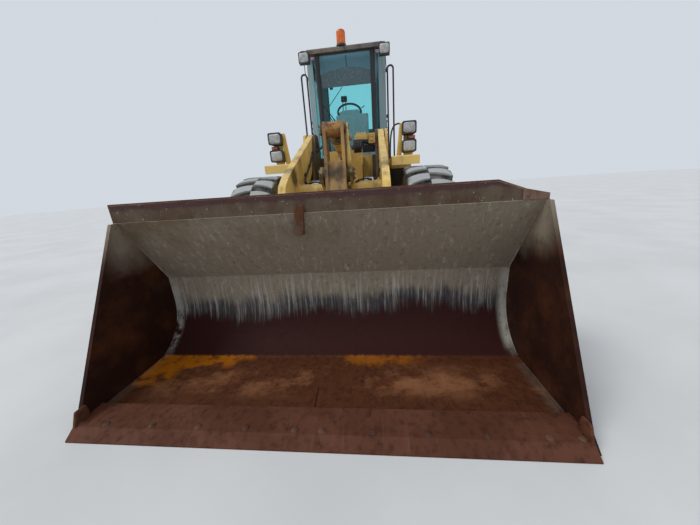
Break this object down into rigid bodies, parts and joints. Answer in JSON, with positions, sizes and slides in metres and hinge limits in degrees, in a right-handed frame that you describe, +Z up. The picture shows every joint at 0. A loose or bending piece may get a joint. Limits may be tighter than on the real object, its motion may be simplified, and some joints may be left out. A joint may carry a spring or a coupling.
{
  "type": "articulated wheel loader",
  "caption": "Articulated wheel loader with a single-lever loader linkage, full-width bucket, enclosed cab, rear engine hood and four lugged earthmover tyres.",
  "frame": {"origin": "on the ground under the middle of the overall box, with the bucket flat on the ground", "axes": "+X forward to the bucket, +Y to the machine's left, +Z up"},
  "size_m": [7.6, 2.9, 3.695],
  "materials": {
    "yellow_paint": "worn yellow enamel",
    "cab_paint": "faded grey green enamel",
    "roof_paint": "dusty enamel",
    "cast_weight": "painted casting",
    "black_metal": "black enamel",
    "bucket_steel": "rusty scraped plate",
    "pin_steel": "ground steel",
    "rod_chrome": "hard chrome",
    "tyre_rubber": "dusty tread",
    "glass": "tinted",
    "black_plastic": "moulded",
    "seat_cloth": "woven cover",
    "amber_plastic": "translucent amber"
  },
  "bodies": {
    "chassis": {"rear_frame": "yellow_paint", "counterweight": "cast_weight", "rear_axle": "yellow_paint", "engine_block": "cast_weight", "engine_hood": "yellow_paint", "radiator_grille": "black_metal", "exhaust_stack": "black_metal", "air_intake": "black_metal", "steps_left": "yellow_paint", "steps_right": "yellow_paint", "rear_fenders": "yellow_paint", "cab_frame": "cab_paint", "cab_roof": "roof_paint", "cab_glass": "glass", "seat": "seat_cloth", "steering_column": "black_plastic", "dash_console": "black_plastic", "handrails": "black_metal", "roof_lamps": "black_plastic", "beacon": "amber_plastic", "wiper": "black_metal"},
    "front": {"front_frame": "yellow_paint", "arm_tower": "yellow_paint", "front_axle": "yellow_paint", "front_panel": "yellow_paint", "drive_shaft": "black_metal", "front_fenders": "yellow_paint", "head_lamps": "black_plastic"},
    "arms": {"lift_arms": "yellow_paint"},
    "crank_pin": {"crank_pin": "pin_steel"},
    "bell_crank": {"bell_crank": "yellow_paint"},
    "link_pin": {"link_pin": "pin_steel"},
    "bucket_link": {"bucket_link": "yellow_paint"},
    "lift_barrels": {"lift_barrels": "yellow_paint"},
    "lift_rods": {"lift_rods": "rod_chrome"},
    "tilt_barrel": {"tilt_barrel": "yellow_paint"},
    "tilt_rod": {"tilt_rod": "rod_chrome"},
    "bucket_pins": {"bucket_pins": "pin_steel"},
    "bucket": {"bucket_shell": "bucket_steel", "cutting_edge": "bucket_steel", "spill_guard": "bucket_steel"},
    "steer_barrel_left": {"steer_barrel_left": "yellow_paint"},
    "steer_rod_left": {"steer_rod_left": "rod_chrome"},
    "door_left": {"cab_door_left": "cab_paint", "door_glass_left": "glass"},
    "hatch_left": {"hood_door_left": "yellow_paint"},
    "wheel_front_left": {"tyre_front_left": "tyre_rubber", "rim_front_left": "yellow_paint"},
    "wheel_rear_left": {"tyre_rear_left": "tyre_rubber", "rim_rear_left": "yellow_paint"},
    "steer_barrel_right": {"steer_barrel_right": "yellow_paint"},
    "steer_rod_right": {"steer_rod_right": "rod_chrome"},
    "door_right": {"cab_door_right": "cab_paint", "door_glass_right": "glass"},
    "hatch_right": {"hood_door_right": "yellow_paint"},
    "wheel_front_right": {"tyre_front_right": "tyre_rubber", "rim_front_right": "yellow_paint"},
    "wheel_rear_right": {"tyre_rear_right": "tyre_rubber", "rim_rear_right": "yellow_paint"}
  },
  "joints": [
    {"name": "articulation", "type": "hinge", "parent": "chassis", "child": "front", "pos_m": [-0.3, 0, 0.62], "axis": [0, 0, 1], "range_deg": [-38, 38]},
    {"name": "lift", "type": "hinge", "parent": "front", "child": "arms", "pos_m": [0.45, 0, 1.95], "axis": [0, -1, 0], "range_deg": [0, 75]},
    {"name": "bucket_level", "type": "hinge", "parent": "arms", "child": "bucket_pins", "pos_m": [2.57, 0, 0.42], "axis": [0, 1, 0], "range_deg": [-0.5, 59]},
    {"name": "tilt", "type": "hinge", "parent": "bucket_pins", "child": "bucket", "pos_m": [2.57, 0, 0.42], "axis": [0, 1, 0], "range_deg": [-40, 42]},
    {"name": "crank_carry", "type": "hinge", "parent": "arms", "child": "crank_pin", "pos_m": [1.74, 0, 1.44], "axis": [0, 1, 0], "range_deg": [-22.48, 0.5]},
    {"name": "crank_turn", "type": "hinge", "parent": "crank_pin", "child": "bell_crank", "pos_m": [1.74, 0, 1.44], "axis": [0, 1, 0], "range_deg": [-8.19, 7.82]},
    {"name": "link_carry", "type": "hinge", "parent": "bucket", "child": "link_pin", "pos_m": [2.63, 0, 0.675], "axis": [0, 1, 0], "range_deg": [-16.62, 0.5]},
    {"name": "link_turn", "type": "hinge", "parent": "link_pin", "child": "bucket_link", "pos_m": [2.63, 0, 0.675], "axis": [0, 1, 0], "range_deg": [-32, 30.5]},
    {"name": "lift_ram_turn", "type": "hinge", "parent": "front", "child": "lift_barrels", "pos_m": [0.12, 0, 0.79], "axis": [0, -1, 0], "range_deg": [-0.5, 33.66]},
    {"name": "lift_ram_slide", "type": "slide", "parent": "lift_barrels", "child": "lift_rods", "axis": [0.9093, 0, 0.4161], "range_m": [-0.002, 0.8571]},
    {"name": "tilt_ram_turn", "type": "hinge", "parent": "front", "child": "tilt_barrel", "pos_m": [0.39, 0, 1.68], "axis": [0, 1, 0], "range_deg": [-62.3, 0.5]},
    {"name": "tilt_ram_slide", "type": "slide", "parent": "tilt_barrel", "child": "tilt_rod", "axis": [0.9868, 0, 0.162], "range_m": [-0.046, 0.0439]},
    {"name": "steer_ram_turn_left", "type": "hinge", "parent": "chassis", "child": "steer_barrel_left", "pos_m": [-1, 0.36, 0.62], "axis": [0, 0, 1], "range_deg": [-10.56, 10.56]},
    {"name": "steer_ram_slide_left", "type": "slide", "parent": "steer_barrel_left", "child": "steer_rod_left", "axis": [0.9997, -0.0252, 0], "range_m": [-0.2223, 0.2223]},
    {"name": "steer_ram_turn_right", "type": "hinge", "parent": "chassis", "child": "steer_barrel_right", "pos_m": [-1, -0.36, 0.62], "axis": [0, 0, 1], "range_deg": [-10.56, 10.56]},
    {"name": "steer_ram_slide_right", "type": "slide", "parent": "steer_barrel_right", "child": "steer_rod_right", "axis": [0.9997, 0.0252, 0], "range_m": [-0.2223, 0.2223]},
    {"name": "wheel_spin_front_left", "type": "hinge", "parent": "front", "child": "wheel_front_left", "pos_m": [1.3, 1.02, 0.745], "axis": [0, 1, 0], "continuous": true},
    {"name": "wheel_spin_front_right", "type": "hinge", "parent": "front", "child": "wheel_front_right", "pos_m": [1.3, -1.02, 0.745], "axis": [0, 1, 0], "continuous": true},
    {"name": "wheel_spin_rear_left", "type": "hinge", "parent": "chassis", "child": "wheel_rear_left", "pos_m": [-1.9, 1.02, 0.745], "axis": [0, 1, 0], "continuous": true},
    {"name": "wheel_spin_rear_right", "type": "hinge", "parent": "chassis", "child": "wheel_rear_right", "pos_m": [-1.9, -1.02, 0.745], "axis": [0, 1, 0], "continuous": true},
    {"name": "cab_door_open_left", "type": "hinge", "parent": "chassis", "child": "door_left", "pos_m": [-1.303, 0.686, 2.5], "axis": [0, 0, 1], "range_deg": [0, 80]},
    {"name": "hood_door_open_left", "type": "hinge", "parent": "chassis", "child": "hatch_left", "pos_m": [-2.6, 0.576, 2.004], "axis": [1, 0, 0], "range_deg": [0, 70]},
    {"name": "cab_door_open_right", "type": "hinge", "parent": "chassis", "child": "door_right", "pos_m": [-1.303, -0.686, 2.5], "axis": [0, 0, -1], "range_deg": [0, 80]},
    {"name": "hood_door_open_right", "type": "hinge", "parent": "chassis", "child": "hatch_right", "pos_m": [-2.6, -0.576, 2.004], "axis": [-1, 0, 0], "range_deg": [0, 70]}
  ],
  "couplings": [
    {"joint": "bucket_level", "follows": "lift", "ratio": 0.78},
    {"joint": "crank_carry", "follows": "lift", "ratio": -0.293},
    {"joint": "crank_turn", "follows": "tilt", "ratio": -0.183},
    {"joint": "link_carry", "follows": "lift", "ratio": -0.215},
    {"joint": "link_turn", "follows": "tilt", "ratio": -0.75},
    {"joint": "lift_ram_turn", "follows": "lift", "ratio": 0.44208},
    {"joint": "lift_ram_slide", "follows": "lift", "m_per_rad": 0.65323},
    {"joint": "tilt_ram_turn", "follows": "lift", "ratio": -0.824},
    {"joint": "tilt_ram_slide", "follows": "tilt", "m_per_rad": -0.06005},
    {"joint": "steer_ram_turn_left", "follows": "articulation", "ratio": 0.26473},
    {"joint": "steer_ram_slide_left", "follows": "articulation", "m_per_rad": -0.33212},
    {"joint": "steer_ram_turn_right", "follows": "articulation", "ratio": 0.26473},
    {"joint": "steer_ram_slide_right", "follows": "articulation", "m_per_rad": 0.33212}
  ]
}
